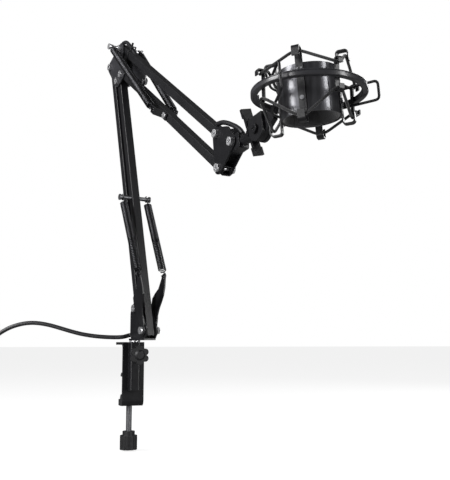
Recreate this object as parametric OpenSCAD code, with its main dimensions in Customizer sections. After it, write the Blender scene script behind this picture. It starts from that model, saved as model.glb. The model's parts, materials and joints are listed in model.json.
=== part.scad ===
// Spring-balanced boom arm with a desk clamp and a suspended microphone holder.
// Origin: on the clamp screw's axis, at the face of the upper jaw that rests on a desk.
// +Z is up and the jaws open towards -X. The arm is drawn in its own X-Z plane,
// then swivelled about the socket's axis.

/* [Clamp] */
// Width of the clamp frame
clamp_w = 26; // [24:1:32]
// Reach of the jaws behind the outer face
jaw_reach = 49; // [46:1:56]
// Thickness of the upper jaw and the back plate
jaw_t = 3.2; // [3:0.1:4]
// Clear height between the jaws
throat_h = 66; // [60:1:80]
// Height of the pressure pad's face below the upper jaw
pad_gap = 34; // [32:1:40]
// Diameter of the clamp screw
screw_d = 7; // [6:0.5:8]
// Diameter of the clamp knob
clamp_knob_d = 21; // [20:1:24]
// Diameter of the swivel post
post_d = 8; // [7:0.5:8.5]

/* [Arm] */
// Turn of the arm from the clamp's square position
swivel_rest = 12; // [0:1:30]
// Width across the square tubes
bar_w = 10; // [9.8:0.1:10.2]
// Wall of the square tubes
bar_wall = 1; // [0.8:0.1:1.4]
// Distance between the pivots of the lower tubes
lower_len = 340; // [320:5:360]
// Backward lean of the lower tubes
lean = 15.4; // [12:0.2:18]
// Distance between the pivots of the upper tubes
upper_len = 302; // [290:2:330]
// Droop of the upper tubes below level
droop = 35.2; // [32:0.2:40]
// Diameter of the pivot bolts
bolt_d = 5; // [4.5:0.5:5]
// Thickness of the steel plates at the joints
plate_t = 1.6; // [1.4:0.1:1.8]
// Outer diameter of the springs
spring_d = 10; // [9:0.5:10]

/* [Microphone holder] */
// Radius to the outside of the ring
ring_r = 50.2; // [50:0.1:51]
// Radial thickness of the ring
ring_t = 5.6; // [5:0.1:5.8]
// Height of the ring
ring_h = 5.2; // [4.6:0.2:5.4]
// Inner radius of the felt lining, for the microphone's body
grip_r = 23.5; // [23.3:0.1:23.6]
// Height of the cup above the ring's middle
cup_top = 19; // [18:1:20]
// Depth of the cup below the ring's middle
cup_bottom = 23; // [22:1:24]
// Diameter of the elastic cord
cord_d = 2.6; // [2.2:0.1:2.8]
// Diameter of the wire in the squeeze handles
wire_d = 2.4; // [2:0.1:2.4]
// Lean of the ring along the arm
ring_tilt = 2.3; // [0:0.1:4]
// Roll of the cup in its cords
cup_roll = 4; // [0:0.5:4]

/* [Cable] */
// Diameter of the cable
cable_d = 5; // [4.5:0.5:5]

/* [Hidden] */
fine = 48;
run = 0.05;               // running clearance on a radius
black = "#1c1c1f";
steel = "#c9c9cc";

// Clamp
back_x = 21;              // outer face of the back plate
back_t = 4;
lower_jaw_t = 7;
socket_x = 26.2;          // axis of the swivel post
socket_w = 13;
socket_front = 32.5;
socket_low = -54;
post_low = -30;
lock_z = -12;
lock_reach = 15;          // shank between the socket and the knob
lock_knob_r = 9.4;

// Arm joints, as [forward, up] from the swivel post's axis at the jaw's height
p2 = [38, 16.5];          // lower front tube
p1 = p2 + [-24, 26.5];    // lower rear tube
low_dir = [-sin(lean), cos(lean)];
e1 = p1 + lower_len * low_dir;
e3 = p2 + lower_len * low_dir;
u2 = e3 + [12.7, 5.6];    // upper bottom tube
u1 = u2 + [-4.1, 36];     // upper top tube
up_dir = [cos(droop), -sin(droop)];
t1 = u1 + upper_len * up_dir;
t2 = u2 + upper_len * up_dir;
t3 = t2 + [24.8, 21.4];   // head block
bar_end = 7;              // tube beyond its pivot
short_end = 5;            // the same where two tubes meet at the elbow
bar_corner = 0.9;
plate_in = 5.6;           // inner face of a side plate, from the middle plane
head_h = 3;
head_d = 8.6;
nut_af = 8;
nut_h = 4;

// Base bracket
web_z = 5.4;
web_t = 2;

// Springs
spring_y = 16;            // distance of each spring from the middle plane
wire = 1.6;
lug_splay = 8;
lug_tip = [44, 79];
low_spring_at = 170;      // spring pin along the lower front tube
low_pin = p2 + low_spring_at * low_dir;
spring_at = 137;          // spring hook along the lower tube
clip_bolt_at = 153;
top_pin = u2 + spring_at * up_dir;
pin_reach = 21;

// Head
knuckle = [273, 200.5];
head_slope = 9;
fork_r = 12;
tab_t = 5.2;
cheek_t = 3.4;
wing_lean = 13;
ring_c = [347.2, 0, 213.9];

// Holder
ring_in = ring_r - ring_t;
cup_r = 26;
cup_wall = 1.2;
strip_t = 1.2;
leg_w = 6.5;
leg_bend = 5;             // middle radius of a leg's hook
leg_high = 26;            // straight part of a leg, above and below the middle
leg_low = 27.5;
post_w = 4.5;
post_bend = 3;
post_reach = 11;
cup_split = 0.3;          // half the gap between the halves
hinge_x = -29.6;
leg_az = [38, 128, -52, -142];
post_az = [-7, 83, 173, -97];
leg_cord_r = 34.4;
post_cord_r = 46;
leg_step = 4.2;           // half the straight run of cord inside a hook
post_step = 3.2;

// ---- Frames and helpers ----

module in_arm() {
    translate([socket_x, 0, 0]) rotate([0, 0, swivel_rest]) children();
}

module at(p, y = 0) {
    translate([p[0], y, p[1]]) children();
}

// Local +X runs along a direction given by its angle above the forward axis
module along(p, angle, y = 0) {
    at(p, y) rotate([0, -angle, 0]) children();
}

module across(d, y0, y1) {
    translate([0, y0, 0]) rotate([-90, 0, 0]) cylinder(d = d, h = y1 - y0, $fn = fine);
}

module hex_across(af, y0, y1) {
    translate([0, y0, 0]) rotate([-90, 0, 0]) cylinder(d = af / cos(30), h = y1 - y0, $fn = 6);
}

module in_ring() {
    translate(ring_c) rotate([0, -ring_tilt, 0]) children();
}

module in_cup() {
    in_ring() rotate([cup_roll, 0, 0]) children();
}

// Plate outline with round corners about the given points
module rounded(points, r) {
    hull() for (p = points) translate(p) circle(r, $fn = 40);
}

// Plate in the X-Z plane, from y0 to y0 + t, with round holes
module side_plate(y0, t, points, r, holes, hole_d) {
    translate([0, y0 + t, 0]) rotate([90, 0, 0]) linear_extrude(t) difference() {
        rounded(points, r);
        for (h = holes) translate(h) circle(d = hole_d, $fn = fine);
    }
}

// Round rod bent along a run of points, mitred at each bend
function unit(v) = v / norm(v);
function start_ring(p, dir, r, sides) =
    let (u = unit(cross(dir, abs(dir[2]) < 0.9 ? [0, 0, 1] : [1, 0, 0])), v = cross(dir, u))
    [for (k = [0:sides - 1]) p + r * (cos(360 * k / sides) * u + sin(360 * k / sides) * v)];
function next_rings(points, ring, i) =
    let (
        last = i == len(points) - 1,
        dir = unit(points[i] - points[i - 1]),
        mitre = last ? dir : unit(dir + unit(points[i + 1] - points[i])),
        next = [for (q = ring) q + dir * (((points[i] - q) * mitre) / (dir * mitre))]
    )
    last ? next : concat(next, next_rings(points, next, i + 1));

module chain(points, d, sides = 12) {
    ring = start_ring(points[0], unit(points[1] - points[0]), d / 2, sides);
    all = concat(ring, next_rings(points, ring, 1));
    walls = [for (i = [0:len(points) - 2]) for (k = [0:sides - 1])
        let (a = i * sides, n = (k + 1) % sides) [a + k, a + sides + k, a + sides + n, a + n]];
    ends = [[for (k = [0:sides - 1]) k], [for (k = [0:sides - 1]) len(all) - 1 - k]];
    polyhedron(points = all, faces = concat(walls, ends));
}

module square_profile(w, r) {
    translate([-w / 2 + r, -w / 2]) square([w - 2 * r, w]);
    translate([-w / 2, -w / 2 + r]) square([w, w - 2 * r]);
    for (x = [-1, 1]) for (y = [-1, 1]) translate([x, y] * (w / 2 - r)) circle(r, $fn = 16);
}

// Square tube from a pivot, with a hole at each pivot and one more on request
module bar(pivot, angle, length, far_hole, extra_at = 0, near_end = bar_end, far_end = bar_end) {
    color(black) along(pivot, angle) difference() {
        translate([-near_end, 0, 0]) rotate([90, 0, 90]) linear_extrude(length + near_end + far_end)
            difference() {
                square_profile(bar_w, bar_corner);
                square([bar_w - 2 * bar_wall, bar_w - 2 * bar_wall], center = true);
            }
        across(bolt_d + 2 * run, -bar_w, bar_w);
        translate([length, 0, 0]) across(far_hole, -bar_w, bar_w);
        if (extra_at > 0) translate([extra_at, 0, 0]) across(bolt_d, -bar_w, bar_w);
    }
}

// Round-headed bolt from the left plate, through to the nut on the right
module bolt(p, reach = plate_in + plate_t) {
    color(steel) at(p) {
        across(bolt_d, -reach, reach + nut_h + 1);
        difference() {
            across(head_d, -reach - head_h, -reach);
            translate([0, -reach - head_h - 0.1, 0]) cross_slot();
        }
    }
}

module cross_slot() {
    for (turn = [0, 90]) rotate([0, turn, 0]) translate([-2.2, 0, -0.5]) cube([4.4, 1.6, 1]);
}

module nut(p, y0 = plate_in + plate_t) {
    color(steel) at(p) difference() {
        hex_across(nut_af, y0, y0 + nut_h);
        across(bolt_d, y0 - 1, y0 + nut_h + 1);
    }
}

// ---- Desk clamp ----

module clamp_profile() {
    union() {
        translate([back_x - jaw_reach, 0]) square([jaw_reach, jaw_t]);
        translate([back_x - back_t, -throat_h]) square([back_t, throat_h + jaw_t]);
        translate([-clamp_w / 2, -throat_h - lower_jaw_t])
            square([back_x + clamp_w / 2 - lower_jaw_t, lower_jaw_t]);
        translate([back_x - lower_jaw_t, -throat_h]) circle(lower_jaw_t, $fn = fine);
        translate([back_x - back_t - 5, -5]) difference() {
            square([5.1, 5.1]);
            circle(5, $fn = fine);
        }
    }
}

module clamp_frame() {
    color(black) difference() {
        union() {
            intersection() {
                translate([0, clamp_w / 2, 0]) rotate([90, 0, 0]) linear_extrude(clamp_w) clamp_profile();
                union() {
                    translate([-1, -clamp_w / 2, -throat_h - lower_jaw_t])
                        cube([back_x + 1, clamp_w, throat_h + lower_jaw_t + jaw_t]);
                    translate([0, 0, -throat_h - lower_jaw_t])
                        cylinder(d = clamp_w, h = lower_jaw_t + 1, $fn = fine);
                    translate([0, 0, -1]) linear_extrude(jaw_t + 2)
                        rounded([[-22, -7], [0, -7], [0, 7], [-22, 7]], 6);
                }
            }
            translate([back_x - 0.5, -socket_w / 2, socket_low])
                cube([socket_front - back_x - 2.5, socket_w, jaw_t - socket_low]);
            translate([back_x, -socket_w / 2 + 3, socket_low])
                cube([socket_front - back_x, socket_w - 6, jaw_t - socket_low]);
            for (y = [-1, 1]) translate([socket_front - 3, y * (socket_w / 2 - 3), socket_low])
                cylinder(r = 3, h = jaw_t - socket_low, $fn = fine);
        }
        translate([socket_x, 0, post_low - 2]) cylinder(d = post_d + 2 * run, h = 60, $fn = fine);
        translate([socket_x, 0, lock_z]) rotate([0, 90, 0]) cylinder(d = 5 + 2 * run, h = 20, $fn = fine);
        translate([0, 0, -throat_h - 20]) cylinder(d = screw_d + 2 * run, h = 30, $fn = fine);
    }
}

module lock_screw() {
    tip_x = socket_x + post_d / 2 + 0.3;
    color(steel) translate([tip_x, 0, lock_z]) rotate([0, 90, 0])
        cylinder(d = 5, h = socket_front + lock_reach + 4 - tip_x, $fn = fine);
}

// Six-lobed knob with a domed hub
module lock_knob() {
    color(black) translate([socket_front + lock_reach, 0, lock_z]) rotate([0, 90, 0]) difference() {
        union() {
            linear_extrude(7) {
                circle(lock_knob_r - 1.5, $fn = fine);
                for (i = [0:5]) rotate(60 * i) translate([lock_knob_r - 2, 0]) circle(4, $fn = 32);
            }
            translate([0, 0, -4]) cylinder(r = 5.5, h = 5, $fn = fine);
            translate([0, 0, 6.5]) cylinder(r1 = 6.6, r2 = 4.2, h = 2.8, $fn = fine);
        }
        translate([0, 0, -5]) cylinder(d = 5, h = 9, $fn = fine);
    }
}

screw_low = -throat_h - lower_jaw_t - 37;
pad_t = 3;

module clamp_screw() {
    color(steel) {
        translate([0, 0, screw_low]) cylinder(d = screw_d, h = -pad_gap - pad_t - 5 - screw_low, $fn = fine);
        translate([0, 0, -pad_gap - pad_t - 6]) cylinder(d = 5, h = 5, $fn = fine);
    }
}

// Fluted knob with a narrower collar on top
module clamp_knob() {
    color(black) translate([0, 0, screw_low - 16]) difference() {
        union() {
            cylinder(d = clamp_knob_d, h = 17, $fn = fine);
            translate([0, 0, 17]) cylinder(d = 15, h = 5, $fn = fine);
        }
        for (i = [0:11]) rotate(30 * i) translate([clamp_knob_d / 2 + 1.1, 0, -1])
            cylinder(r = 2, h = 30, $fn = 16);
        translate([0, 0, 16]) cylinder(d = screw_d, h = 10, $fn = fine);
    }
}

module pressure_pad() {
    color(black) translate([0, 0, -pad_gap - pad_t]) difference() {
        union() {
            translate([0, 0, -1.5]) cylinder(d = 22, h = 2.5, $fn = fine);
            translate([0, 0, -5]) cylinder(d = 11, h = 4, $fn = fine);
        }
        translate([0, 0, -6]) cylinder(d = 5 + 2 * run, h = 5.1, $fn = fine);
    }
}

module pad_rubber() {
    color("#2b2b2b") translate([0, 0, -pad_gap - pad_t + 1]) cylinder(d = 21, h = pad_t - 1, $fn = fine);
}

// ---- Swivelling base ----

module swivel_post() {
    color(steel) in_arm() {
        translate([0, 0, post_low]) cylinder(d = post_d, h = web_z - post_low, $fn = fine);
        translate([0, 0, jaw_t + 0.1]) cylinder(d = 13, h = web_z - jaw_t - 0.1, $fn = fine);
        translate([0, 0, web_z]) cylinder(d = 5.4, h = web_t, $fn = fine);
        translate([0, 0, web_z + web_t]) cylinder(d = 9, h = 1.6, $fn = fine);
    }
}

module base_bracket() {
    outline = [[9, 13], [9, 36], p1, [p1[0] + 8, p1[1] - 2], p2 + [1.5, 3], p2, [38, 13]];
    color(black) in_arm() {
        for (y = [-plate_in - plate_t, plate_in])
            side_plate(y, plate_t, outline, 7, [p1, p2], bolt_d);
        difference() {
            translate([2, -plate_in - plate_t, web_z]) cube([40, 2 * (plate_in + plate_t), web_t]);
            cylinder(d = 5.4, h = 20, $fn = fine);
        }
        difference() {
            union() {
                translate([0, 0, web_z]) cylinder(r = plate_in + plate_t, h = web_t, $fn = fine);
                translate([0, -plate_in - plate_t, web_z]) cube([3, 2 * (plate_in + plate_t), web_t]);
            }
            cylinder(d = 5.4, h = 20, $fn = fine);
        }
    }
}

module base_bolts() {
    in_arm() {
        bolt(p1);
        bolt(p2, plate_in + 2 * plate_t);
    }
}

module base_nuts() {
    in_arm() {
        nut(p1);
        nut(p2, plate_in + 2 * plate_t);
    }
}

// Curved ear seen from the side: a foot round the bolt, a neck and a wide leaf
module lug_outline() {
    polygon(concat(
        [for (a = [135:15:405]) p2 + 7 * [cos(a), sin(a)]],
        [[42.5, 30], [41.5, 34], [43, 42], [47, 50], [50, 58], [50.5, 66]],
        [for (a = [-15:15:195]) lug_tip + 4.5 * [cos(a), sin(a)]],
        [[35, 66], [28, 61], [22, 55], [22, 47], [25, 38], [29, 30], [33, 22.5]]
    ));
}

// The ear is flat at its foot and splays outwards above the bend
module lug() {
    low_y = plate_in + plate_t;
    bend_z = p2[1] + 6;
    rise = 80;
    splay = rise * tan(lug_splay);
    color(black) difference() {
        intersection() {
            translate([0, 40, 0]) rotate([90, 0, 0]) linear_extrude(60) lug_outline();
            rotate([90, 0, 90]) linear_extrude(80) polygon([
                [low_y, -10], [low_y + plate_t, -10], [low_y + plate_t, bend_z],
                [low_y + plate_t + splay, bend_z + rise], [low_y + splay, bend_z + rise], [low_y, bend_z]
            ]);
        }
        at(p2) across(bolt_d, low_y - 1, low_y + 5);
        at(lug_tip) across(4.4, low_y, 30);
    }
}

module spring_lugs() {
    in_arm() {
        lug();
        mirror([0, 1, 0]) lug();
    }
}

// Pin across the arm with a head at each end
module long_pin(p, d, reach) {
    color(steel) at(p) {
        across(d, -reach, reach);
        for (y = [-reach - 1.6, reach]) across(head_d - 1, y, y + 1.6);
    }
}

// Cable lying on the desk side, from the bracket out to its plug
tail_turn = -121.4;
function out(s, z) = [s * cos(tail_turn), s * sin(tail_turn), z];
tail_path = [
    [25, 0, 12.4], [12, 0, 12.4], [0, 0, 12.4], [-6, -2, 12], [-8, -6.5, 10.6], out(14.5, 9.2),
    out(24, 8.8), out(38, 9.4), out(52, 10.8), out(65, 13), out(77, 16), out(90, 19.8),
    out(103, 23.4), out(115, 25.6), out(126, 26.2), out(137, 24.9), out(148, 21.8), out(157, 17.6),
    out(165, 12.4), out(172, 6.2), out(177, -1)
];
plug_len = 58;
plug_d = 19;

module cable_tail() {
    color(black) in_arm() chain(tail_path, cable_d);
}

module in_plug() {
    in_arm() translate(out(177, -1)) rotate([0, 180 - asin(0.55), tail_turn]) children();
}

module plug_shell() {
    color(steel) in_plug() difference() {
        union() {
            translate([0, 0, 2.6]) cylinder(d1 = 9, d2 = 13, h = 12, $fn = fine);
            translate([0, 0, 14.6]) cylinder(d = plug_d - 2, h = 22, $fn = fine);
            translate([0, 0, 36.6]) cylinder(d = plug_d, h = plug_len - 36.6, $fn = fine);
        }
        translate([0, 0, 2]) cylinder(d = cable_d, h = 3.3, $fn = fine);
        translate([0, 0, 38]) cylinder(d = plug_d - 3, h = plug_len, $fn = fine);
        for (a = [90, 210, 330]) rotate(a) translate([4, 0, 32]) cylinder(d = 2.4, h = 10, $fn = 24);
    }
}

module plug_pins() {
    color(steel) in_plug() for (a = [90, 210, 330]) rotate(a) translate([4, 0, 32.1]) {
        cylinder(d = 2.4, h = plug_len - 35, $fn = 24);
        translate([0, 0, plug_len - 35]) sphere(d = 2.4, $fn = 24);
    }
}

// ---- Lower arm ----

low_angle = 90 + lean;

module lower_rear_bar() {
    in_arm() bar(p1, low_angle, lower_len, bolt_d + 2 * run);
}

module lower_front_bar() {
    in_arm() bar(p2, low_angle, lower_len, bolt_d + 2 * run, low_spring_at, far_end = short_end);
}

module lower_spring_pin() {
    in_arm() long_pin(low_pin, bolt_d, pin_reach - 2);
}

// Wire loop round a pin, lying in the spring's own plane, its end in the coil's wall
module eye(length, r) {
    wall = spring_d / 2 - wire / 2 - 0.1;
    chain(concat(
        [[length + 0.8, 0, -wall], [length + 0.8, 0, -1.6], [length - 0.8, 0, 0.4], [length - 3, 0, r]],
        [for (a = [90:30:270]) [r * cos(a), 0, r * sin(a)]],
        [[length - 4, 0, -r], [length - 3.4, 0, -r + 1.2]]
    ), wire, 8);
}

// Hook that passes through a hole at local x = 0 and turns back
module hook(length) {
    wall = spring_d / 2 - wire / 2 - 0.1;
    chain([
        [length + 0.8, 0, -wall], [length + 0.8, 0.4, -1.6], [length - 0.8, 1.4, 0], [length - 3, 3.4, 0],
        [2.5, 3.4, 0], [0, 2.4, 0], [0, -2.4, 0], [1.8, -3.4, 0]
    ], wire, 8);
}

// Envelope of a close-wound coil
module sleeve(x0, x1) {
    translate([x0, 0, 0]) rotate([0, 90, 0]) difference() {
        cylinder(d = spring_d, h = x1 - x0, $fn = fine);
        translate([0, 0, -1]) cylinder(d = spring_d - 2 * wire - 0.2, h = x1 - x0 + 2, $fn = fine);
    }
}

low_spring = lug_tip - low_pin;
low_spring_len = norm(low_spring);
low_spring_angle = atan2(low_spring[1], low_spring[0]);

// Lower spring, drawn from its pin down to the ear
module lower_spring() {
    color(steel) along(low_pin, low_spring_angle, spring_y) {
        eye(9, 3.6);
        sleeve(8.6, low_spring_len - 7.6);
        translate([low_spring_len, 0, 0]) mirror([1, 0, 0]) hook(8);
    }
}

module lower_spring_left() {
    in_arm() lower_spring();
}

module lower_spring_right() {
    in_arm() mirror([0, 1, 0]) lower_spring();
}

// ---- Elbow ----

stop_at = [0, 331];

module elbow_plate(y0) {
    color("#8f9094") side_plate(y0, plate_t, [e1, e3, u2, u1], 7.5, [e1, e3, u2, u1], bolt_d);
}

module elbow_plate_right() {
    in_arm() elbow_plate(-plate_in - plate_t);
}

// The left plate has an ear that reaches forward under the spring
module elbow_plate_left() {
    color("#3a3b3f") in_arm() translate([0, plate_in + plate_t, 0]) rotate([90, 0, 0])
        linear_extrude(plate_t) difference() {
            union() {
                rounded([e1, e3, u2, u1], 7.5);
                rounded([u2, stop_at, stop_at + [2, 8], [-30, 360]], 5.5);
            }
            for (p = [e1, e3, u2, u1, stop_at]) translate(p) circle(d = bolt_d, $fn = fine);
        }
}

module elbow_bolts() {
    in_arm() {
        for (p = [e1, e3, u2]) bolt(p);
        color(steel) at(stop_at) across(bolt_d, plate_in - 0.4, plate_in + plate_t + 3.5);
    }
}

module elbow_nuts() {
    in_arm() {
        for (p = [e1, e3, u2, u1]) nut(p);
        nut(u1, -plate_in - plate_t - nut_h);
        color(steel) at(stop_at) difference() {
            hex_across(nut_af, plate_in + plate_t, plate_in + plate_t + 3);
            across(bolt_d, plate_in, plate_in + 8);
        }
    }
}

module elbow_cable() {
    color(black) in_arm() chain([
        [-60, 0, 376], [-62.5, 0, 384], [-61.5, 0, 391], [-57, 0, 396], [-50.5, 0, 398],
        [-44, 0, 396.4], [-38, 0, 392.4], [-32, 0, 388], [-26, 0, 383.6]
    ], cable_d);
}

// Strap round the cable and the top tube, with its cut end standing up
module elbow_cable_tie() {
    color(black) in_arm() along(u1, -droop) translate([22.5, 0, 0]) {
        rotate([90, 0, 90]) linear_extrude(2.6) difference() {
            union() {
                square([bar_w + 1, bar_w + 2], center = true);
                translate([-cable_d / 2 - 1, 0]) square([cable_d + 2, bar_w / 2 + cable_d + 1.4]);
            }
            square([bar_w + 0.1, bar_w + 0.1], center = true);
            translate([-cable_d / 2 - 0.1, 0]) square([cable_d + 0.2, bar_w / 2 + cable_d + 0.4]);
        }
        translate([0.8, -cable_d / 2 - 1, bar_w / 2 + cable_d]) cube([1, 2.4, 6]);
    }
}

// ---- Upper arm ----

module upper_top_bar() {
    in_arm() bar(u1, -droop, upper_len, bolt_d + 2 * run);
}

module upper_bottom_bar() {
    in_arm() bar(u2, -droop, upper_len, bolt_d + 2 * run, clip_bolt_at, near_end = short_end);
}

module upper_spring_pin() {
    in_arm() long_pin(u1, bolt_d, pin_reach + 1.5);
}

high_step = top_pin - u1;
high_len = norm(high_step);
high_angle = atan2(high_step[1], high_step[0]);
high_y = 19.5;            // spring ends from the middle plane
high_y_end = 14.5;
high_turn = atan2(high_y - high_y_end, high_len);

module in_high() {
    for (side = [0, 1]) mirror([0, side, 0]) along(u1, high_angle, high_y) rotate([0, 0, -high_turn]) children();
}

module upper_springs() {
    color(steel) in_arm() in_high() {
        eye(9, 3.6);
        sleeve(8.6, high_len - 12);
    }
}

// Straight shank in the spring's end, and the hook through the clip's ear
module upper_spring_hooks() {
    wall = spring_d / 2 - wire - 0.4;
    color(steel) in_arm() in_high() translate([high_len, 0, 0]) mirror([1, 0, 0]) {
        chain([
            [26, 0, 0], [9, 0, 0], [6.5, 3.4, 0], [2.5, 3.4, 0], [0, 2.4, 0], [0, -2.4, 0], [1.8, -3.4, 0]
        ], wire, 8);
        translate([25, 0, 0]) rotate([0, 90, 0]) cylinder(r = wall, h = 3, $fn = 32);
    }
}

// Pair of ears bolted to the lower tube, splayed outwards to the springs' hooks
module spring_clip() {
    base_y = bar_w / 2 + 0.05;
    ear_y = high_y_end - plate_t / 2;
    color(black) in_arm() along(u2, -droop) difference() {
        for (side = [0, 1]) mirror([0, side, 0]) translate([0, 0, -4.5]) linear_extrude(9) polygon([
            [spring_at - 4.5, ear_y + plate_t], [spring_at + 4.5, ear_y + plate_t],
            [clip_bolt_at - 5, base_y + plate_t], [clip_bolt_at + 5, base_y + plate_t],
            [clip_bolt_at + 5, base_y], [clip_bolt_at - 5.8, base_y],
            [spring_at + 3.7, ear_y], [spring_at - 4.5, ear_y]
        ]);
        translate([spring_at, 0, 0]) across(4.4, -30, 30);
        translate([clip_bolt_at, 0, 0]) across(bolt_d, -30, 30);
    }
}

module clip_bolt() {
    in_arm() long_pin(u2 + clip_bolt_at * up_dir, bolt_d, bar_w / 2 + 0.05 + plate_t);
}

// ---- Head ----

module tip_plate(y0) {
    color(black) side_plate(y0, plate_t, [t1, t2, t3, [222.4, 208.1]], 6.7, [t1, t2, t3], bolt_d);
}

module tip_plate_left() {
    in_arm() tip_plate(plate_in);
}

module tip_plate_right() {
    in_arm() tip_plate(-plate_in - plate_t);
}

module tip_bolts() {
    in_arm() for (p = [t1, t2, t3]) bolt(p);
}

module tip_nuts() {
    in_arm() for (p = [t1, t2, t3]) nut(p);
}

// Frame on the head tube's axis, with +X forward through the knuckle
module in_head() {
    in_arm() along(knuckle, head_slope) children();
}

tube_d = 10;
tube_back = -35;          // inner end of the tube, behind the knuckle's pivot
block_front = -29;

module head_block() {
    color(black) difference() {
        in_head() intersection() {
            translate([-51, -plate_in, -7]) cube([51 + block_front, 2 * plate_in, 16]);
            translate([-44, plate_in + 1, 1]) rotate([90, 0, 0]) cylinder(r = 16, h = 20, $fn = 64);
        }
        in_head() translate([tube_back, 0, 0]) rotate([0, 90, 0]) cylinder(d = tube_d, h = 20, $fn = fine);
        in_arm() at(t3) across(bolt_d, -20, 20);
    }
}

module head_tube() {
    color(black) in_head() translate([tube_back, 0, 0]) rotate([0, 90, 0]) difference() {
        cylinder(d = tube_d, h = 19.6, $fn = fine);
        translate([0, 0, -1]) cylinder(d = 6 + 2 * run, h = 30, $fn = fine);
    }
}

module head_cable() {
    color(black) in_arm() chain([
        [198, 0, 225.4], [204, 0, 225.2], [210, 0, 223.8], [216, 0, 221.6], [222, 0, 218.6],
        [228, 0, 215.2], [234, 0, 211.6], [240, 0, 208.6]
    ], cable_d);
}

// Collar with two flat wings that clamps the knuckle's stem
wing_reach = [21, 26];    // below and above the axis
wing_w = 11.6;
module wing_collar() {
    waist = wing_w - 2.8;
    color(black) in_head() translate([-fork_r - 3.2, 0, 0]) rotate([wing_lean, 0, 0]) difference() {
        union() {
            rotate([0, 90, 0]) cylinder(d = 14, h = 3, $fn = fine);
            translate([0, -waist / 2, -wing_reach[0]]) cube([3, waist, wing_reach[0] + wing_reach[1]]);
            translate([0, -wing_w / 2, -wing_reach[0]]) cube([3, wing_w, 8]);
            translate([0, -wing_w / 2, wing_reach[1] - 9]) cube([3, wing_w, 9]);
        }
        translate([-1, 0, 0]) rotate([0, 90, 0]) cylinder(d = 6 + 2 * run, h = 10, $fn = fine);
    }
}

// Fork with a flat top and a round bottom; its stem runs back through the collar into the tube
module knuckle_fork() {
    color(black) in_head() {
        for (y = [-tab_t / 2 - cheek_t, tab_t / 2]) difference() {
            union() {
                translate([0, y, 0]) rotate([-90, 0, 0]) cylinder(r = fork_r, h = cheek_t, $fn = 64);
                translate([-fork_r + 0.6, y, 0]) cube([2 * fork_r - 1.2, cheek_t, fork_r + 1]);
            }
            across(bolt_d, -20, 20);
        }
        difference() {
            union() {
                translate([-11.6, -tab_t / 2 - cheek_t, -6]) cube([4, tab_t + 2 * cheek_t, 12]);
                translate([-30, 0, 0]) rotate([0, 90, 0]) cylinder(d = 6, h = 19, $fn = fine);
            }
            across(2 * fork_r - 0.6, -tab_t / 2 - 0.02, tab_t / 2 + 0.02);
        }
    }
}

module knuckle_bolt() {
    y1 = tab_t / 2 + cheek_t;
    color(steel) in_head() {
        across(bolt_d, -y1, y1 + nut_h + 0.6);
        difference() {
            across(9.4, -y1 - 2.6, -y1);
            translate([0, -y1 - 2.7, 0]) cross_slot();
        }
    }
}

module knuckle_nut() {
    y1 = tab_t / 2 + cheek_t;
    color(steel) in_head() difference() {
        hex_across(nut_af, y1, y1 + nut_h);
        across(bolt_d, y1 - 1, y1 + nut_h + 1);
    }
}

// ---- Suspended holder ----

module mount_ring() {
    color(black) in_arm() in_ring() rotate_extrude($fn = 160) translate([ring_in, 0]) {
        translate([0, -ring_h / 2 + 1]) square([ring_t, ring_h - 2]);
        translate([1, -ring_h / 2]) square([ring_t - 2, ring_h]);
        for (x = [1, ring_t - 1]) for (z = [-1, 1]) translate([x, z * (ring_h / 2 - 1)]) circle(1, $fn = 24);
    }
}

// Flat tab from the knuckle to the back of the ring
module ring_stem() {
    back = ring_c[0] - ring_r;
    color(black) in_arm() difference() {
        union() {
            at(knuckle) across(2 * fork_r - 1.4, -tab_t / 2 + run, tab_t / 2 - run);
            translate([0, tab_t / 2 - run, 0]) rotate([90, 0, 0]) linear_extrude(tab_t - 2 * run) polygon([
                knuckle + [4, -10.4], [back + 2, 205.4], [back + 2, 216.4], knuckle + [2, 11.1]
            ]);
        }
        at(knuckle) across(bolt_d + 2 * run, -20, 20);
        in_ring() translate([0, 0, -20]) cylinder(r = ring_r + 0.03, h = 40, $fn = 160);
    }
}

// Square about the origin with rounded corners
module arch(half, corner) {
    square([2 * half, 2 * (half - corner)], center = true);
    square([2 * (half - corner), 2 * half], center = true);
    for (x = [-1, 1]) for (y = [-1, 1]) translate([x, y] * (half - corner)) circle(corner, $fn = 32);
}

// Flat strip that stands at radius r0, hooked outwards at both ends
module hooked_strip(r0, low, high, bend, prong, w) {
    mid = r0 + strip_t / 2 + bend;
    translate([0, w / 2, 0]) rotate([90, 0, 0]) linear_extrude(w) {
        translate([r0, -low]) square([strip_t, low + high]);
        for (end = [0, 1]) mirror([0, end]) {
            z = end == 0 ? high : low;
            translate([mid, z]) difference() {
                arch(bend + strip_t / 2, bend * 0.55 + strip_t / 2);
                arch(bend - strip_t / 2, bend * 0.55 - strip_t / 2);
                translate([-20, -40]) square([40, 40]);
            }
            translate([mid + bend - strip_t / 2, z - prong]) square([strip_t, prong]);
        }
    }
}

module ring_posts() {
    color(black) in_arm() in_ring() for (a = post_az) rotate(a)
        hooked_strip(ring_in - strip_t - 0.1, post_reach, post_reach, post_bend, 2, post_w);
}

function polar(r, a, z) = [r * cos(a), r * sin(a), z];
function rolled(p) = [
    p[0],
    p[1] * cos(cup_roll) - p[2] * sin(cup_roll),
    p[1] * sin(cup_roll) + p[2] * cos(cup_roll)
];
function beside(a, step) = [-sin(a), cos(a), 0] * step;

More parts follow.
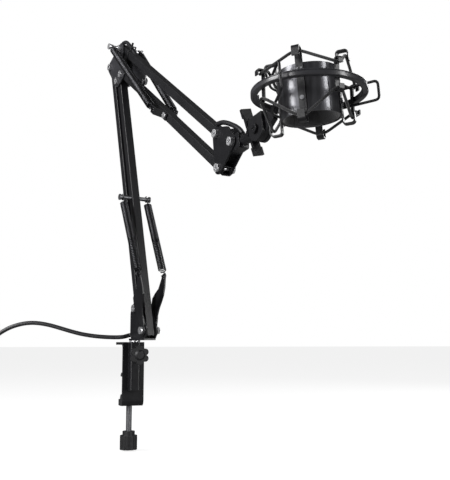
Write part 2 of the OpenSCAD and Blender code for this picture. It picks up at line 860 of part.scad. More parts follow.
// Run of cord, hooked by turns on a leg of the cup and a post of the ring
module cord(side) {
    leg_z = side > 0 ? leg_high : leg_low;
    points = [for (i = [0:7]) for (s = [-1, 1])
        let (a = leg_az[0] + 45 * i)
        i % 2 == 0
            ? rolled(polar(leg_cord_r, a, side * leg_z) + beside(a, s * leg_step))
            : polar(post_cord_r, a, side * post_reach) + beside(a, s * post_step)];
    start = (points[0] + points[1]) / 2;
    gap = 0.03 * unit(points[1] - points[0]);
    run_points = concat([start + gap], [for (i = [1:15]) points[i]], [points[0], start - gap]);
    color(black) in_arm() in_ring() chain(run_points, cord_d, 10);
}

module upper_cord() {
    cord(1);
}

module lower_cord() {
    cord(-1);
}

pin_half = 7.9;

module cup_hinge_pin() {
    color(steel) in_arm() in_cup() translate([hinge_x, 0, -pin_half])
        cylinder(d = 2.4, h = 2 * pin_half, $fn = fine);
}

module tube_half(r_out, r_in, z0, z1) {
    intersection() {
        translate([0, 0, z0]) difference() {
            cylinder(r = r_out, h = z1 - z0, $fn = 128);
            translate([0, 0, -1]) cylinder(r = r_in, h = z1 - z0 + 2, $fn = 128);
        }
        translate([-60, cup_split, -60]) cube([120, 60, 120]);
    }
}

// Half of the cup on the left, with hinge eyes at the given heights
module cup_half(eyes) {
    color("#4a4a4e") difference() {
        union() {
            tube_half(cup_r, cup_r - cup_wall, -cup_bottom, cup_top);
            for (z = eyes) translate([hinge_x, 0, z]) {
                cylinder(r = 2.6, h = 3.6, $fn = fine);
                translate([0, cup_split, 0]) cube([5, 2.6 - cup_split, 3.6]);
            }
        }
        translate([0, 0, -cup_bottom - 1]) cylinder(r = cup_r - cup_wall, h = 80, $fn = 128);
        translate([hinge_x, 0, -20]) cylinder(d = 2.4 + 2 * run, h = 40, $fn = fine);
    }
}

module cup_left() {
    in_arm() in_cup() cup_half([-7.6, 0.1]);
}

module cup_right() {
    in_arm() in_cup() mirror([0, 1, 0]) cup_half([-3.8, 3.9]);
}

module felt() {
    color("#2c2c2e") tube_half(cup_r - cup_wall - 0.03, grip_r, -cup_bottom + 0.6, cup_top - 0.4);
}

module felt_left() {
    in_arm() in_cup() felt();
}

module felt_right() {
    in_arm() in_cup() mirror([0, 1, 0]) felt();
}

module cup_leg(a) {
    color(black) in_arm() in_cup() rotate(a)
        hooked_strip(cup_r + 0.02, leg_low, leg_high, leg_bend, 4, leg_w);
}

module cup_legs_left() {
    cup_leg(leg_az[0]);
    cup_leg(leg_az[1]);
}

module cup_legs_right() {
    cup_leg(leg_az[2]);
    cup_leg(leg_az[3]);
}

// Two small rivets above and one screw below on each leg
module leg_heads(a) {
    color(steel) in_arm() in_cup() rotate(a) translate([cup_r + strip_t + 0.02, 0, 0]) rotate([0, 90, 0]) {
        for (y = [-1.7, 1.7]) translate([-14, y, 0]) cylinder(d = 1.8, h = 0.6, $fn = 24);
        translate([11, 0, 0]) cylinder(d = 3.8, h = 0.8, $fn = 32);
    }
}

module leg_screws_left() {
    leg_heads(leg_az[0]);
    leg_heads(leg_az[1]);
}

module leg_screws_right() {
    leg_heads(leg_az[2]);
    leg_heads(leg_az[3]);
}

// Wire handle on the right, bent round the back of the cup to the left half
module handle(high, low) {
    arm = [
        [30, -52], [-13, -30.5], [-19, -27], [-25, -22], [-30, -15.5], [-33.2, -8],
        [-34, 0], [-32.5, 5.5], [-29.5, 7.6], [-26.4, 7.1]
    ];
    color(steel) chain(concat(
        [for (i = [len(arm) - 1:-1:0]) [arm[i][0], arm[i][1], high]],
        [for (p = arm) [p[0], p[1], -low]]
    ), wire_d, 10);
}

module handle_left() {
    in_arm() in_cup() mirror([0, 1, 0]) handle(7.4, 9.4);
}

module handle_right() {
    in_arm() in_cup() handle(12.1, 12.1);
}

clamp_frame();
lock_screw();
lock_knob();
clamp_screw();
clamp_knob();
pressure_pad();
pad_rubber();
swivel_post();
base_bracket();
base_bolts();
base_nuts();
spring_lugs();
cable_tail();
plug_shell();
plug_pins();
lower_rear_bar();
lower_front_bar();
lower_spring_pin();
lower_spring_left();
lower_spring_right();
elbow_plate_left();
elbow_plate_right();
elbow_bolts();
elbow_nuts();
elbow_cable();
elbow_cable_tie();
upper_top_bar();
upper_bottom_bar();
upper_spring_pin();
upper_springs();
upper_spring_hooks();
spring_clip();
clip_bolt();
tip_plate_left();
tip_plate_right();
tip_bolts();
tip_nuts();
head_block();
head_tube();
head_cable();
wing_collar();
knuckle_fork();
knuckle_bolt();
knuckle_nut();
mount_ring();
ring_stem();
ring_posts();
upper_cord();
lower_cord();
cup_hinge_pin();
cup_left();
cup_right();
felt_left();
felt_right();
cup_legs_left();
cup_legs_right();
leg_screws_left();
leg_screws_right();
handle_left();
handle_right();
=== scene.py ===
"""Microphone boom arm on a desk clamp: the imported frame, with wound springs, elastic cords, felt,
cables, wire handles and node-based materials around it."""

import json
import math

import bpy
from mathutils import Matrix, Vector, noise


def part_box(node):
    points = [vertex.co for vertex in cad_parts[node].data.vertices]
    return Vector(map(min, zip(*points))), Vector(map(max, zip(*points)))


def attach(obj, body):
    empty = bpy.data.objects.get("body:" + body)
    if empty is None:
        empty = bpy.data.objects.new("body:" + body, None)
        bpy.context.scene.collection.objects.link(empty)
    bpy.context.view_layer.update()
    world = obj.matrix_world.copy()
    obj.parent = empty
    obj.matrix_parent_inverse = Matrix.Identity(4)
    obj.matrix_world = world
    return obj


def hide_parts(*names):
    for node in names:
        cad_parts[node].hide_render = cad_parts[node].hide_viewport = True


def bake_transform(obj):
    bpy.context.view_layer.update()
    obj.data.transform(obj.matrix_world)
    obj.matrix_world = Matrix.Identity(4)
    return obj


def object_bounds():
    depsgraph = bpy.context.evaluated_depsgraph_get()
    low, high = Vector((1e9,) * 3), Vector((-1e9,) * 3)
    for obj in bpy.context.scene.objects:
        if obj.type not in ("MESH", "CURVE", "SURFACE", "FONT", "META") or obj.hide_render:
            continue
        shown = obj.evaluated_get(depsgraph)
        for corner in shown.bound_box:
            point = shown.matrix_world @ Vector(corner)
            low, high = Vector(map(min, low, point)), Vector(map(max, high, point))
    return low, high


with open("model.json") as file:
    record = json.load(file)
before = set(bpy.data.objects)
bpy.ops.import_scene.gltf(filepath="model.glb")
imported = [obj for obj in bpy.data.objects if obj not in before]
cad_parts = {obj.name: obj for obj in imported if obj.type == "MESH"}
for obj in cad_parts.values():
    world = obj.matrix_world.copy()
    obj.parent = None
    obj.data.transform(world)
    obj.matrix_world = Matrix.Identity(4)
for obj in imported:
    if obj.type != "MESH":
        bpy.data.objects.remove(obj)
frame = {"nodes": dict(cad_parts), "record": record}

CAD_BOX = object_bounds()
MM = 0.001
JOINTS = {j["name"]: j for j in frame["record"]["behaviour"]["joints"]}


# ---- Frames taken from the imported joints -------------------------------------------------

def pivot(name):
    return Vector(JOINTS[name]["pos_m"])


def axis(name):
    return Vector(JOINTS[name]["axis"]).normalized()


def middle(node):
    low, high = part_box(node)
    return (Vector(low) + Vector(high)) / 2


def basis(origin, x, y, z):
    m = Matrix((x, y, z)).transposed().to_4x4()
    m.translation = origin
    return m


UP = Vector((0, 0, 1))
SIDE = axis("lower_arm_tilt")
FORWARD = SIDE.cross(UP)
ARM = basis(Vector((pivot("swivel").x, pivot("swivel").y, 0)), FORWARD, SIDE, UP)
RING_UP = axis("cup_bounce")
RING_FORWARD = SIDE.cross(RING_UP)
RING = basis(middle("mount_ring"), RING_FORWARD, SIDE, RING_UP)
CUP_UP = axis("left_half_open")
CUP_SIDE = CUP_UP.cross(RING_FORWARD)
CUP = basis(middle("mount_ring"), RING_FORWARD, CUP_SIDE, CUP_UP)


def at(matrix, x, y, z):
    """A point given in millimetres in one of the frames above, in the shared frame."""
    return matrix @ Vector((x * MM, y * MM, z * MM))


def arm_mm(point):
    """A point of the shared frame in the arm's own frame, in millimetres."""
    return (ARM.inverted() @ point) / MM


# ---- Mesh tools --------------------------------------------------------------------------

def mesh_object(name, vertices, faces, material, smooth_angle=35):
    mesh = bpy.data.meshes.new(name)
    mesh.from_pydata([tuple(v) for v in vertices], [], faces)
    mesh.polygons.foreach_set("use_smooth", [True] * len(mesh.polygons))
    mesh.set_sharp_from_angle(angle=math.radians(smooth_angle))
    mesh.materials.append(material)
    obj = bpy.data.objects.new(name, mesh)
    bpy.context.scene.collection.objects.link(obj)
    return obj


def spline(points, steps=8):
    """A smooth run through the points, with its ends straight."""
    points = [Vector(p) for p in points]
    padded = [2 * points[0] - points[1]] + points + [2 * points[-1] - points[-2]]
    run = []
    for i in range(1, len(padded) - 2):
        a, b, c, d = padded[i - 1 : i + 3]
        for k in range(steps):
            t = k / steps
            run.append(
                0.5 * (2 * b + (c - a) * t + (2 * a - 5 * b + 4 * c - d) * t * t
                       + (3 * b - a - 3 * c + d) * t ** 3)
            )
    run.append(points[-1])
    return run


def filleted(points, reach, steps=6, closed=False):
    """The points' polyline with each corner cut back by reach and rounded."""
    points = [Vector(p) for p in points]
    count = len(points)
    run = []
    for i, p in enumerate(points):
        if not closed and i in (0, count - 1):
            run.append(p)
            continue
        before = points[i - 1] - p
        after = points[(i + 1) % count] - p
        a = p + before.normalized() * min(reach, before.length * 0.45)
        b = p + after.normalized() * min(reach, after.length * 0.45)
        for k in range(steps + 1):
            t = k / steps
            run.append(a * (1 - t) ** 2 + p * 2 * t * (1 - t) + b * t * t)
    return run


def sweep(name, path, radius, material, sides=12, closed=False):
    """A round section carried along a path without twisting."""
    count = len(path)
    vertices, faces = [], []
    normal = None
    for i, p in enumerate(path):
        if closed:
            ahead = (path[(i + 1) % count] - path[i - 1]).normalized()
        else:
            ahead = (path[min(i + 1, count - 1)] - path[max(i - 1, 0)]).normalized()
        if normal is None:
            normal = ahead.orthogonal()
        normal = (normal - ahead * normal.dot(ahead)).normalized()
        other = ahead.cross(normal)
        for k in range(sides):
            turn = 2 * math.pi * k / sides
            vertices.append(p + radius * (math.cos(turn) * normal + math.sin(turn) * other))
    for i in range(count if closed else count - 1):
        for k in range(sides):
            a, b = i * sides, (i + 1) % count * sides
            n = (k + 1) % sides
            faces.append((a + k, a + n, b + n, b + k))
    if not closed:
        faces.append(tuple(reversed(range(sides))))
        faces.append(tuple(range((count - 1) * sides, count * sides)))
    return mesh_object(name, vertices, faces, material, 60)


def lathe(name, profile, matrix, material, steps=128, start=0.0, end=360.0, rough=0.0):
    """A closed profile of (radius, height) in millimetres turned about the frame's third axis.
    rough lifts the surface by that many millimetres of noise, as on felt."""
    whole = end - start >= 360
    rings = steps if whole else steps + 1
    count = len(profile)
    vertices, faces = [], []
    for i in range(rings):
        turn = math.radians(start + (end - start) * i / steps)
        for r, z in profile:
            lift = rough * noise.noise(Vector((r * math.cos(turn), r * math.sin(turn), z)) * 0.9)
            vertices.append(at(matrix, (r + lift) * math.cos(turn), (r + lift) * math.sin(turn), z))
    for i in range(steps):
        a, b = i * count, (i + 1) % rings * count
        for k in range(count):
            n = (k + 1) % count
            faces.append((a + k, b + k, b + n, a + n))
    if not whole:
        faces.append(tuple(range(count)))
        faces.append(tuple(reversed(range((rings - 1) * count, rings * count))))
    return mesh_object(name, vertices, faces, material)


def soft_corner(r0, r1, z0, z1, corner, steps=4):
    """A rectangle of (radius, height) with rounded corners, anticlockwise."""
    centres = [(r1 - corner, z0 + corner, -90), (r1 - corner, z1 - corner, 0),
               (r0 + corner, z1 - corner, 90), (r0 + corner, z0 + corner, 180)]
    return [
        (r + corner * math.cos(math.radians(a + 90 * k / steps)),
         z + corner * math.sin(math.radians(a + 90 * k / steps)))
        for r, z, a in centres for k in range(steps + 1)
    ]


# ---- Materials ---------------------------------------------------------------------------

class Nodes:
    """A material's node tree, with short calls for the nodes used here."""

    def __init__(self, name, color, roughness, metallic=0.0):
        self.material = bpy.data.materials.new(name)
        self.material.use_nodes = True
        self.tree = self.material.node_tree
        self.shader = self.tree.nodes["Principled BSDF"]
        self.set("Base Color", (*color, 1))
        self.set("Roughness", roughness)
        self.set("Metallic", metallic)
        self.place = self.add("ShaderNodeTexCoord").outputs["Object"]

    def add(self, kind):
        return self.tree.nodes.new(kind)

    def link(self, a, b):
        self.tree.links.new(a, b)

    def set(self, name, value):
        self.shader.inputs[name].default_value = value

    def noise(self, scale, detail=4.0, stretch=(1, 1, 1)):
        mapping = self.add("ShaderNodeMapping")
        mapping.inputs["Scale"].default_value = stretch
        texture = self.add("ShaderNodeTexNoise")
        texture.inputs["Scale"].default_value = scale
        texture.inputs["Detail"].default_value = detail
        self.link(self.place, mapping.inputs["Vector"])
        self.link(mapping.outputs[0], texture.inputs["Vector"])
        return texture.outputs["Fac"]

    def ramp(self, source, stops):
        ramp = self.add("ShaderNodeValToRGB")
        while len(ramp.color_ramp.elements) < len(stops):
            ramp.color_ramp.elements.new(0.5)
        for element, (position, color) in zip(ramp.color_ramp.elements, stops):
            element.position = position
            element.color = (*color, 1)
        self.link(source, ramp.inputs["Fac"])
        return ramp.outputs["Color"]

    def scalar(self, source, low, high):
        spread = self.add("ShaderNodeMapRange")
        spread.inputs["To Min"].default_value = low
        spread.inputs["To Max"].default_value = high
        self.link(source, spread.inputs["Value"])
        return spread.outputs["Result"]

    def bump(self, source, strength, distance, edge=0.0):
        """Bump from a height, over an edge rounded by the given radius."""
        bump = self.add("ShaderNodeBump")
        bump.inputs["Strength"].default_value = strength
        bump.inputs["Distance"].default_value = distance
        self.link(source, bump.inputs["Height"])
        if edge:
            bevel = self.add("ShaderNodeBevel")
            bevel.samples = 6
            bevel.inputs["Radius"].default_value = edge
            self.link(bevel.outputs[0], bump.inputs["Normal"])
        self.link(bump.outputs[0], self.shader.inputs["Normal"])


def shade(color, factor):
    return tuple(c * factor for c in color)


PAINT_GRAIN = 900
PAINT_EDGE = 0.0005          # radius, in metres, that rounds an edge in the shading


def paint(name, color, roughness, coat=0.12):
    """Powder coat: fine orange peel, slight colour drift, and rounded edges that catch the light."""
    n = Nodes(name, color, roughness)
    n.set("Specular IOR Level", 0.35)
    n.set("Coat Weight", coat)
    n.set("Coat Roughness", 0.18)
    drift = n.ramp(n.noise(35), [(0.3, shade(color, 0.8)), (0.75, shade(color, 1.3))])
    n.link(drift, n.shader.inputs["Base Color"])
    n.link(n.scalar(n.noise(120), roughness - 0.06, roughness + 0.1), n.shader.inputs["Roughness"])
    n.bump(n.noise(PAINT_GRAIN, 2), 0.25, 0.0001, PAINT_EDGE)
    return n.material


def plated(name, color, roughness, edge=0.0003):
    """Zinc-plated steel: bright, with faint brushed streaks and dull patches."""
    n = Nodes(name, color, roughness, 1.0)
    n.link(n.ramp(n.noise(60), [(0.3, shade(color, 0.75)), (0.7, color)]), n.shader.inputs["Base Color"])
    n.link(n.scalar(n.noise(300, 3, (1, 6, 1)), roughness - 0.08, roughness + 0.14),
           n.shader.inputs["Roughness"])
    n.bump(n.noise(700, 2, (1, 5, 1)), 0.12, 0.0001, edge)
    return n.material


def moulded(name, color, roughness, grain, depth, edge=0.0006):
    """Moulded plastic or rubber with a fine matt grain."""
    n = Nodes(name, color, roughness)
    n.link(n.ramp(n.noise(80), [(0.3, shade(color, 0.75)), (0.8, shade(color, 1.4))]),
           n.shader.inputs["Base Color"])
    n.link(n.scalar(n.noise(200), roughness - 0.08, roughness + 0.1), n.shader.inputs["Roughness"])
    n.bump(n.noise(grain, 3), 0.4, depth, edge)
    return n.material


def woven(name, color, scale, depth):
    """Braided sleeve of the elastic cords: two crossed runs of bands."""
    n = Nodes(name, color, 0.85)
    n.set("Sheen Weight", 0.35)
    height = None
    for direction in ("X", "Y"):
        wave = n.add("ShaderNodeTexWave")
        wave.bands_direction = direction
        wave.inputs["Scale"].default_value = scale
        wave.inputs["Distortion"].default_value = 1.5
        n.link(n.place, wave.inputs["Vector"])
        if height is None:
            height = wave.outputs["Fac"]
            continue
        most = n.add("ShaderNodeMath")
        most.operation = "MAXIMUM"
        n.link(height, most.inputs[0])
        n.link(wave.outputs["Fac"], most.inputs[1])
        height = most.outputs[0]
    n.link(n.ramp(height, [(0.2, shade(color, 0.5)), (0.9, shade(color, 1.8))]),
           n.shader.inputs["Base Color"])
    n.bump(height, 0.6, depth)
    return n.material


def felted(name, color):
    n = Nodes(name, color, 0.95)
    n.set("Sheen Weight", 0.6)
    n.set("Sheen Roughness", 0.6)
    n.link(n.ramp(n.noise(500, 8), [(0.25, shade(color, 0.6)), (0.8, shade(color, 1.9))]),
           n.shader.inputs["Base Color"])
    n.bump(n.noise(1100, 8), 0.9, 0.0004)
    return n.material


def cup_paint(name, color):
    """Satin metallic paint over a rolled sheet, with faint upright streaks."""
    n = Nodes(name, color, 0.32, 0.75)
    n.set("Coat Weight", 0.4)
    n.set("Coat Roughness", 0.15)
    streaks = n.noise(140, 3, (1, 1, 0.08))
    n.link(n.ramp(streaks, [(0.3, shade(color, 0.7)), (0.7, shade(color, 1.5))]),
           n.shader.inputs["Base Color"])
    n.link(n.scalar(streaks, 0.24, 0.42), n.shader.inputs["Roughness"])
    n.bump(n.noise(1200, 2), 0.15, 0.0001, 0.0003)
    return n.material


BLACK = (0.008, 0.008, 0.0095)
MATERIALS = {
    "black_paint": paint("black_paint", (0.0075, 0.0075, 0.009), 0.34),
    "bar_paint": paint("bar_paint", (0.009, 0.009, 0.0105), 0.38, 0.15),
    # the ring's black paint made lighter: painted light for the light falling on its outer band from the
    # front
    "ring_paint_painted_light": paint("ring_paint_painted_light", (0.035, 0.035, 0.039), 0.3, 0.4),
    "elbow_paint": paint("elbow_paint", (0.03, 0.03, 0.034), 0.34, 0.3),
    "black_plastic": moulded("black_plastic", BLACK, 0.5, 900, 0.0002),
    "pad_rubber": moulded("pad_rubber", (0.02, 0.02, 0.02), 0.8, 500, 0.0003),
    "cable_rubber": moulded("cable_rubber", (0.016, 0.016, 0.018), 0.36, 700, 0.0001, 0),
    "cord": woven("cord", (0.012, 0.012, 0.013), 260, 0.0004),
    "plated_steel": plated("plated_steel", (0.85, 0.85, 0.87), 0.38),
    "spring_steel": plated("spring_steel", (0.075, 0.075, 0.08), 0.34, 0),
    "dull_steel": plated("dull_steel", (0.2, 0.2, 0.21), 0.45),
    "cup_metal": cup_paint("cup_metal", (0.09, 0.09, 0.098)),
    "felt": felted("felt", (0.02, 0.02, 0.022)),
    "plug_metal": plated("plug_metal", (0.5, 0.5, 0.52), 0.32),
}


def dress_frame():
    """Every CAD node gets its slot's material, and smooth shading on its round faces."""
    for part in frame["record"]["subparts"]:
        obj = frame["nodes"][part["node"]]
        obj.data.materials.clear()
        obj.data.materials.append(MATERIALS[part["material_slot"]])
        obj.data.polygons.foreach_set("use_smooth", [True] * len(obj.data.polygons))
        obj.data.set_sharp_from_angle(angle=math.radians(30))


def finish_piece(obj, slot, bodies, *nodes):
    """Puts a piece on its body, or leaves it fixed where it stands when more than one is given, and hides
    what it replaces.
    """
    if isinstance(bodies, str):
        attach(obj, bodies)
    else:
        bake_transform(obj)
    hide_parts(*nodes)


# ---- Springs -----------------------------------------------------------------------------

WIRE = 0.75 * MM             # radius of the wire
COIL = 4.2 * MM              # radius of the coil, to the middle of the wire
EYE = 3.5 * MM               # radius of the eye round a pin
END_REACH = 9 * MM           # from a pin or a hook to the coil
LOW_SPRING_Y = 16            # the lower springs, from the arm's middle plane
HIGH_SPRING_Y = 19.5         # the upper springs at their pin
CLIP_Y = 14.5                # the upper springs at the clip
DROOP = math.radians(35.2)   # of the upper tubes below level
HOOK_BACK = 16               # from the clip's bolt to the springs' hooks
TURN_STEPS = 14


def coil_frame(start, end):
    along = (end - start).normalized()
    up = (SIDE.cross(along)).normalized()
    return along, SIDE - along * SIDE.dot(along), up


def spring_path(start, end, close):
    """Wire from an eye round the pin at start, through the coil, to a hook at the far end.
    close is the share of the coil's length that is close-wound."""
    along, side, up = coil_frame(start, end)
    length = (end - start).length
    first, last = END_REACH, length - END_REACH

    def local(x, y, z):
        return start + along * x + side * y + up * z

    path = []
    for k in range(13):
        turn = math.radians(215 - 24 * k)
        path.append(local(EYE * math.cos(turn) - 0.2 * MM, 0, EYE * math.sin(turn)))
    path.append(local(first - 2.2 * MM, 0, -1.2 * MM))
    path.append(local(first - 1.0 * MM, 0.4 * MM, 0.6 * MM))
    pitch = 2.05 * WIRE
    tight = (last - first) * close
    tight_turns = int(tight / pitch)
    wide = last - first - tight_turns * pitch
    wide_turns = max(1, int(wide / (1.45 * pitch)))
    total = (tight_turns + wide_turns) * TURN_STEPS
    for k in range(total + 1):
        turns = k / TURN_STEPS
        if turns <= tight_turns:
            x = first + turns * pitch
        else:
            x = first + tight_turns * pitch + (turns - tight_turns) * wide / wide_turns
        angle = 2 * math.pi * turns + math.pi / 2
        path.append(local(x, COIL * math.cos(angle), COIL * math.sin(angle)))
    path.append(local(last + 1.4 * MM, 0.3 * MM, 0.8 * MM))
    outward = 3.0 * MM if side.dot(start - ARM.translation) > 0 else -3.0 * MM
    path.append(local(last + 3 * MM, outward * 0.9, 0))
    path.append(local(length - 2.5 * MM, outward * 1.05, 0))
    path.append(local(length - 0.2 * MM, outward * 0.75, 0))
    path.append(local(length, 0, 0))
    path.append(local(length - 0.2 * MM, -outward * 0.75, 0))
    path.append(local(length - 2.2 * MM, -outward * 0.95, 0))
    return path


def lower_springs():
    pin = arm_mm(middle("lower_spring_pin"))
    tip = arm_mm(pivot("lower_spring_tilt"))
    for name, hand in (("left", 1), ("right", -1)):
        y = hand * LOW_SPRING_Y
        path = spring_path(at(ARM, pin.x, y, pin.z), at(ARM, tip.x, y, tip.z), 0.55)
        coil = sweep(f"lower_coil_{name}", path, WIRE, MATERIALS["spring_steel"], 7)
        finish_piece(coil, "spring_steel", "lower_springs", f"lower_spring_{name}")


def upper_springs():
    pin = arm_mm(pivot("upper_arm_tilt"))
    hold = arm_mm(middle("clip_bolt")) - Vector((math.cos(DROOP), 0, -math.sin(DROOP))) * HOOK_BACK
    for name, hand in (("left", 1), ("right", -1)):
        start = at(ARM, pin.x, hand * HIGH_SPRING_Y, pin.z)
        end = at(ARM, hold.x, hand * CLIP_Y, hold.z)
        coil = sweep(f"upper_coil_{name}", spring_path(start, end, 0.8), WIRE,
                     MATERIALS["spring_steel"], 7)
        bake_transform(coil)
    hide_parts("upper_springs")
    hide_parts("upper_spring_hooks")


# ---- Cables ------------------------------------------------------------------------------

CABLE = 2.5 * MM
TAIL_TURN = math.radians(-121.4)


def out(s, z):
    return (s * math.cos(TAIL_TURN), s * math.sin(TAIL_TURN), z)


def cable(name, points, bodies, *nodes):
    path = spline([at(ARM, *p) for p in points])
    obj = sweep(name, path, CABLE, MATERIALS["cable_rubber"], 16)
    finish_piece(obj, "cable_rubber", bodies, *nodes)
    return obj


def cables():
    low = arm_mm(pivot("lower_arm_tilt"))
    tail = [(low.x - 3, 0, low.z + 10), (low.x + 0.6, 0, low.z - 3), (35, 0, 11.5), (24, 0, 12.2),
            (10, 0, 12.3), (-1, -0.5, 12.3), (-6.5, -4.5, 11.4),
            out(14.5, 9.4), out(24, 8.9), out(38, 9.4), out(52, 10.8),
            out(65, 13), out(77, 16), out(90, 19.8), out(103, 23.4), out(115, 25.6), out(126, 26.2),
            out(137, 24.9), out(148, 21.8), out(157, 17.6), out(165, 12.4), out(172, 6.2), out(178.3, -3)]
    cable("cable_tail_round", tail, ("front_bar", "swivel", at(ARM, low.x, 0, low.z), at(ARM, 22, 0, 12)),
          "cable_tail")
    elbow = arm_mm(pivot("elbow_level"))
    top = arm_mm(pivot("upper_arm_tilt"))
    crest = (top.x - 6, 0, top.z + 11.6)
    rise = [(elbow.x - 1, 0, elbow.z + 2), (elbow.x - 3.5, 0, elbow.z + 12), (elbow.x - 8.5, 0, elbow.z + 28),
            (top.x - 17.5, 0, top.z - 2), (top.x - 17, 0, top.z + 4.5), (top.x - 12.6, 0, top.z + 9.6), crest]
    cable("elbow_cable_rise", rise, ("front_bar", "elbow", at(ARM, *rise[0]), at(ARM, *rise[3])),
          "elbow_cable")
    fall = [crest, (top.x + 2, 0, top.z + 9.8), (top.x + 9, 0, top.z + 5.2), (top.x + 18, 0, top.z - 2.6),
            (top.x + 27, 0, top.z - 12), (top.x + 40, 0, top.z - 26)]
    cable("elbow_cable_fall", fall, ("elbow", "top_bar", at(ARM, *crest), at(ARM, *fall[3])))
    tip = arm_mm(pivot("head_level"))
    arch = [(tip.x - 28, 0, tip.z + 20), (tip.x - 16, 0, tip.z + 13.2), (tip.x - 8, 0, tip.z + 13.4),
            (tip.x + 1, 0, tip.z + 12.6), (tip.x + 10, 0, tip.z + 9.8), (tip.x + 18, 0, tip.z + 6.2),
            (tip.x + 26, 0, tip.z + 2.2), (tip.x + 34, 0, tip.z - 3), (tip.x + 39, 0, tip.z - 8)]
    cable("head_cable_arch", arch, ("top_bar", "head", at(ARM, *arch[1]), at(ARM, *arch[5])), "head_cable")


# ---- Suspended holder --------------------------------------------------------------------

def polar(matrix, r, turn, z, beside=0.0):
    a = math.radians(turn)
    return at(matrix, r * math.cos(a) - beside * math.sin(a), r * math.sin(a) + beside * math.cos(a), z)


LEG_TURN = 38                # the first leg of the cup, about the ring's axis
CORD_R = 1.3 * MM
CORD_AT_LEG = 34.4           # the cord's distance from the axis, in a leg's hook
CORD_AT_POST = 46
LEG_HALF_RUN = 3.6           # half the cord's straight run inside a leg's hook
POST_HALF_RUN = 2.6
POST_Z = 11                  # height of the posts' hooks above and below the ring
RING_IN, RING_OUT, RING_HALF_H = 44.6, 50.2, 2.6
FELT_IN, FELT_OUT, FELT_LOW, FELT_HIGH = 23.5, 24.77, -22.4, 18.6
FELT_GAP = 0.8               # degrees between a half's felt and the split


def cord(name, hand, leg_z):
    """Elastic cord hooked by turns on a leg of the cup and a post of the ring."""
    corners = []
    for i in range(8):
        turn = LEG_TURN + 45 * i
        for beside in (-1, 1):
            if i % 2 == 0:
                corners.append(polar(CUP, CORD_AT_LEG, turn, hand * leg_z, beside * LEG_HALF_RUN))
            else:
                corners.append(polar(RING, CORD_AT_POST, turn, hand * POST_Z, beside * POST_HALF_RUN))
    obj = sweep(name, filleted(corners, 5 * MM, 6, True), CORD_R, MATERIALS["cord"], 12, True)
    ends = (RING @ Vector((0, 0, hand * POST_Z * MM)), RING @ Vector((0, 0, hand * leg_z * MM)))
    finish_piece(obj, "cord", ("ring", "cup_core", *ends), name.replace("_round", ""))


def mount_ring():
    """The ring's section: rounded corners and a fine groove round the outside near the top."""
    depth = 0.5
    profile = soft_corner(RING_IN, RING_OUT, -RING_HALF_H, RING_HALF_H, 0.9)
    groove = [(RING_OUT, 0.9), (RING_OUT - depth, 1.1), (RING_OUT - depth, 1.45), (RING_OUT, 1.65)]
    at_side = next(i for i, point in enumerate(profile) if point[1] > 0)
    profile[at_side:at_side] = groove
    # lighter copy of the black paint, as painted light on the ring's outer band
    obj = lathe("mount_ring_grooved", profile, RING, MATERIALS["ring_paint_painted_light"], 192)
    finish_piece(obj, "black_paint", "ring", "mount_ring")


def felts():
    """Felt lining of each half: a sheet with a soft, slightly uneven face and rolled edges."""
    profile = soft_corner(FELT_IN, FELT_OUT, FELT_LOW, FELT_HIGH, 0.5)
    fine = []
    for i, (r, z) in enumerate(profile):
        fine.append((r, z))
        r1, z1 = profile[(i + 1) % len(profile)]
        pieces = int(abs(z1 - z) / 1.6)
        fine += [(r + (r1 - r) * k / pieces, z + (z1 - z) * k / pieces) for k in range(1, pieces)]
    for name, start in (("left", 0), ("right", 180)):
        first, last = start + FELT_GAP, start + 180 - FELT_GAP
        obj = lathe(f"felt_{name}_soft", fine, CUP, MATERIALS["felt"], 72, first, last, 0.12)
        finish_piece(obj, "felt", f"{name}_half", f"felt_{name}")


def handles():
    """Wire handles with rounded bends, each running round the back to the other half."""
    arm = [(30, -52), (-13, -30.5), (-19, -27), (-25, -22), (-30, -15.5), (-33.2, -8),
           (-34, 0), (-32.5, 5.5), (-29.5, 7.6), (-26.4, 7.1)]
    for name, hand, high, low, half in (
        ("left", -1, 7.4, 9.4, "right_half"), ("right", 1, 12.1, 12.1, "left_half"),
    ):
        corners = [at(CUP, x, hand * y, high) for x, y in reversed(arm)]
        corners += [at(CUP, x, hand * y, -low) for x, y in arm]
        obj = sweep(f"handle_{name}_wire", filleted(corners, 4 * MM), 1.2 * MM, MATERIALS["black_paint"], 14)
        finish_piece(obj, "black_paint", half, f"handle_{name}")


def pad_face():
    """Rubber face of the clamp's pad, with concentric ribs."""
    low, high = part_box("pad_rubber")
    bottom, top = low[2] / MM, high[2] / MM
    profile = [(0.01, bottom), (10.5, bottom), (10.5, top - 0.4), (10.1, top)]
    for r in (8.6, 6.8, 5.0, 3.2):
        profile += [(r + 0.5, top), (r + 0.3, top - 0.5), (r - 0.3, top - 0.5), (r - 0.5, top)]
    profile.append((0.01, top))
    obj = lathe("pad_face_ribbed", profile, Matrix.Identity(4), MATERIALS["pad_rubber"], 96)
    finish_piece(obj, "pad_rubber", "pad", "pad_rubber")


# ---- Studio ------------------------------------------------------------------------------

def flat(name, color):
    material = bpy.data.materials.new(name)
    material.use_nodes = True
    shader = material.node_tree.nodes["Principled BSDF"]
    shader.inputs["Base Color"].default_value = (*color, 1)
    shader.inputs["Roughness"].default_value = 0.9
    return material


FLOOR_HALF = 25.0
FLOOR_GLOW = 0.86            # what the camera sees of the floor, apart from its lit part


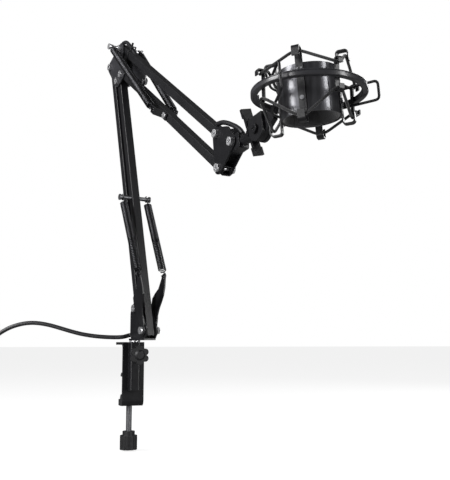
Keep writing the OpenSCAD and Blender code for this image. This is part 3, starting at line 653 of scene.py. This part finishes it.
def floor():
    """Pale to the camera right out to the horizon, but a dim bounce for the object."""
    level = CAD_BOX[0][2] - 0.002
    signs = ((-1, -1), (1, -1), (1, 1), (-1, 1))
    corners = [Vector((x * FLOOR_HALF, y * FLOOR_HALF, level)) for x, y in signs]
    material = flat("floor", (0.25, 0.25, 0.25))
    nodes = material.node_tree.nodes
    rays = nodes.new("ShaderNodeLightPath")
    glow = nodes.new("ShaderNodeMath")
    glow.operation = "MULTIPLY"
    glow.inputs[1].default_value = FLOOR_GLOW
    material.node_tree.links.new(rays.outputs["Is Camera Ray"], glow.inputs[0])
    shader = nodes["Principled BSDF"]
    shader.inputs["Emission Color"].default_value = (1, 1, 1, 1)
    material.node_tree.links.new(glow.outputs[0], shader.inputs["Emission Strength"])
    plane = mesh_object("floor", corners, [(0, 1, 2, 3)], material)


def light(name, place, target, size, power):
    data = bpy.data.lights.new(name, "AREA")
    data.shape = "RECTANGLE"
    data.size, data.size_y = size
    data.energy = power
    obj = bpy.data.objects.new(name, data)
    obj.location = place
    obj.rotation_euler = (Vector(target) - Vector(place)).to_track_quat("-Z", "Y").to_euler()
    bpy.context.scene.collection.objects.link(obj)


def studio():
    world = bpy.data.worlds.new("studio")
    world.use_nodes = True
    background = world.node_tree.nodes["Background"]
    background.inputs["Color"].default_value = (1, 1, 1, 1)
    rays = world.node_tree.nodes.new("ShaderNodeLightPath")
    strength = world.node_tree.nodes.new("ShaderNodeMapRange")
    strength.inputs["To Min"].default_value = 0.06  # what lights the object
    strength.inputs["To Max"].default_value = 1.0   # what the camera sees
    world.node_tree.links.new(rays.outputs["Is Camera Ray"], strength.inputs["Value"])
    world.node_tree.links.new(strength.outputs["Result"], background.inputs["Strength"])
    bpy.context.scene.world = world
    bpy.context.scene.view_settings.view_transform = "Standard"
    target = (0.15, 0.0, 0.2)
    light("key", at(ARM, -100, -1300, 900), target, (0.6, 0.9), 26)
    light("side", at(ARM, 700, -1200, 100), target, (0.25, 1.2), 10)
    light("strip", at(ARM, 1550, 670, 250), target, (0.25, 1.4), 16)
    light("rim", at(ARM, -300, 1300, 900), target, (0.4, 1.0), 7)


CAMERA_LENS = 60.8
CAMERA_PLACE = (845.9, -388.3, 2.1)            # in the arm's frame, in millimetres
CAMERA_HEADING = (-0.84613, 0.51578, 0.13431)  # forward, to the side and up


def camera():
    """At the photograph's viewing place, tilted up a little."""
    data = bpy.data.cameras.new("camera")
    data.sensor_fit = "HORIZONTAL"
    data.sensor_width = 36
    data.lens = CAMERA_LENS
    obj = bpy.data.objects.new("camera", data)
    obj.location = at(ARM, *CAMERA_PLACE)
    forward, aside, up = CAMERA_HEADING
    heading = FORWARD * forward + SIDE * aside + UP * up
    obj.rotation_euler = heading.to_track_quat("-Z", "Y").to_euler()
    bpy.context.scene.collection.objects.link(obj)
    bpy.context.scene.camera = obj


dress_frame()
lower_springs()
upper_springs()
cables()
mount_ring()
cord("upper_cord_round", 1, 26)
cord("lower_cord_round", -1, 27.5)
felts()
handles()
pad_face()
studio()
floor()
camera()
